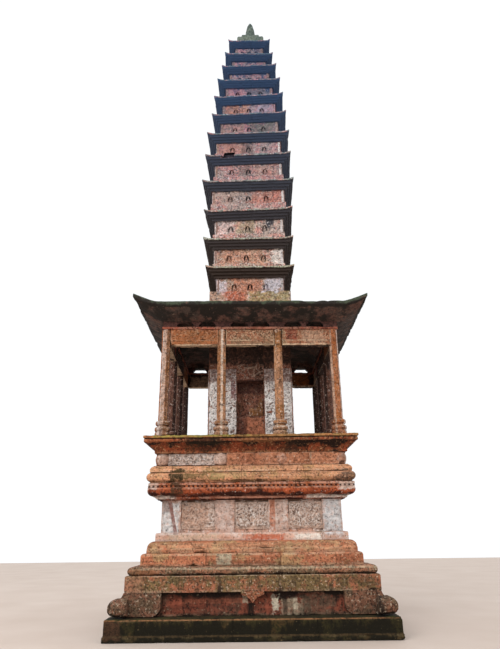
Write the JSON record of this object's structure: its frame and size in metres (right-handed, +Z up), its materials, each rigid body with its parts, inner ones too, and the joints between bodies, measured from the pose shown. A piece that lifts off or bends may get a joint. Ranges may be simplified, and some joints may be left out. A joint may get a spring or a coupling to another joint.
{
  "type": "square stone pagoda",
  "caption": "Square sandstone pagoda: a moulded base, an open gallery of columns round the first storey, and a tall tower of low storeys with thin upturned eaves.",
  "frame": {"origin": "centre of the base's underside, on the ground", "axes": "+Z up the tower, -Y out of the front, +X to the right of someone facing the front"},
  "size_m": [5.33, 5.33, 17.8],
  "materials": {
    "dark_plinth_stone": "weathered sandstone",
    "mossy_foot_stone": "weathered sandstone",
    "weathered_band_stone": "weathered sandstone",
    "grey_olive_stone": "weathered sandstone",
    "orange_step_stone": "weathered sandstone",
    "limewashed_stone": "weathered sandstone",
    "deep_red_stone": "weathered sandstone",
    "warm_bedded_stone": "weathered sandstone",
    "stained_cornice_stone": "weathered sandstone",
    "core_stone": "weathered sandstone",
    "finial_stone": "weathered sandstone",
    "column_stone": "weathered sandstone",
    "beam_stone": "weathered sandstone",
    "roof_stone": "weathered sandstone",
    "tower_stone": "weathered sandstone"
  },
  "bodies": {
    "root": {"base_plinth": "dark_plinth_stone", "foot_course": "mossy_foot_stone", "fascia_course": "weathered_band_stone", "torus_course": "grey_olive_stone", "step_course_lower": "orange_step_stone", "step_course_upper": "orange_step_stone", "dado_course": "limewashed_stone", "lotus_course": "deep_red_stone", "roll_course": "warm_bedded_stone", "frieze_course": "warm_bedded_stone", "cornice_floor": "stained_cornice_stone", "first_storey_core": "core_stone", "finial": "finial_stone", "column_corner_front_right": "column_stone", "column_front_1": "column_stone", "column_front_2": "column_stone", "column_corner_right_back": "column_stone", "column_right_1": "column_stone", "column_right_2": "column_stone", "column_corner_back_left": "column_stone", "column_back_1": "column_stone", "column_back_2": "column_stone", "column_corner_left_front": "column_stone", "column_left_1": "column_stone", "column_left_2": "column_stone", "architrave_front": "beam_stone", "gallery_roof_front": "roof_stone", "architrave_right": "beam_stone", "gallery_roof_right": "roof_stone", "architrave_back": "beam_stone", "gallery_roof_back": "roof_stone", "architrave_left": "beam_stone", "gallery_roof_left": "roof_stone", "storey_02": "tower_stone", "storey_03": "tower_stone", "storey_04": "tower_stone", "storey_05": "tower_stone", "storey_06": "tower_stone", "storey_07": "tower_stone", "storey_08": "tower_stone", "storey_09": "tower_stone", "storey_10": "tower_stone", "storey_11": "tower_stone", "storey_12": "tower_stone", "storey_13": "tower_stone"}
  },
  "joints": []
}
